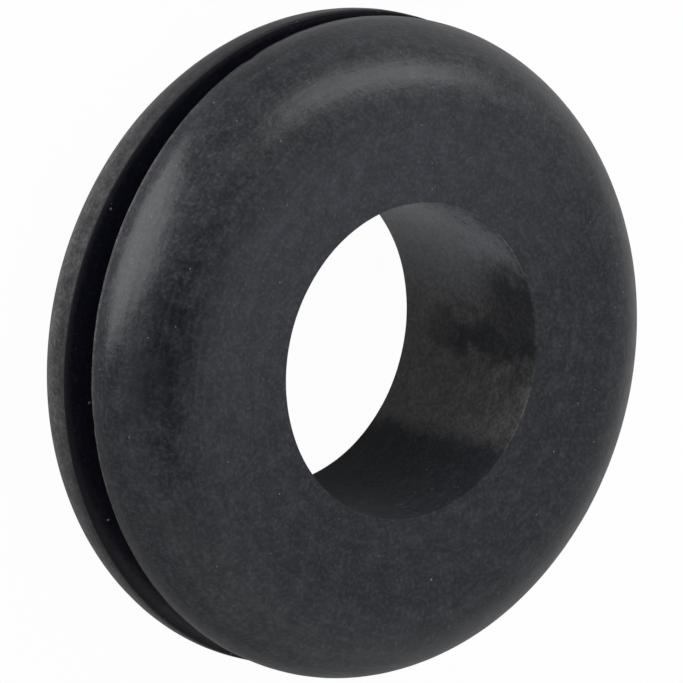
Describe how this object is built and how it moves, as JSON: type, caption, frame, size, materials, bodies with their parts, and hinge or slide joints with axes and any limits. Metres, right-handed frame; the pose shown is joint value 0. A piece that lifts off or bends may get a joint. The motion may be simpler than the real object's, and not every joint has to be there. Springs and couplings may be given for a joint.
{
  "type": "rubber grommet",
  "caption": "Round black rubber grommet: a thick front flange and a thinner back flange with a panel groove between them, around a straight cable bore.",
  "frame": {"origin": "on the bore axis at the middle of the panel groove, where the panel lies", "axes": "+Z along the bore axis, towards the flat face of the thicker front flange; X and Y are any two directions in the panel's plane"},
  "size_m": [0.0254, 0.0254, 0.0079],
  "materials": {
    "rubber": "matt black moulded rubber with a faint grey bloom and dust, darker in the groove"
  },
  "bodies": {
    "root": {"grommet": "rubber"}
  },
  "joints": []
}
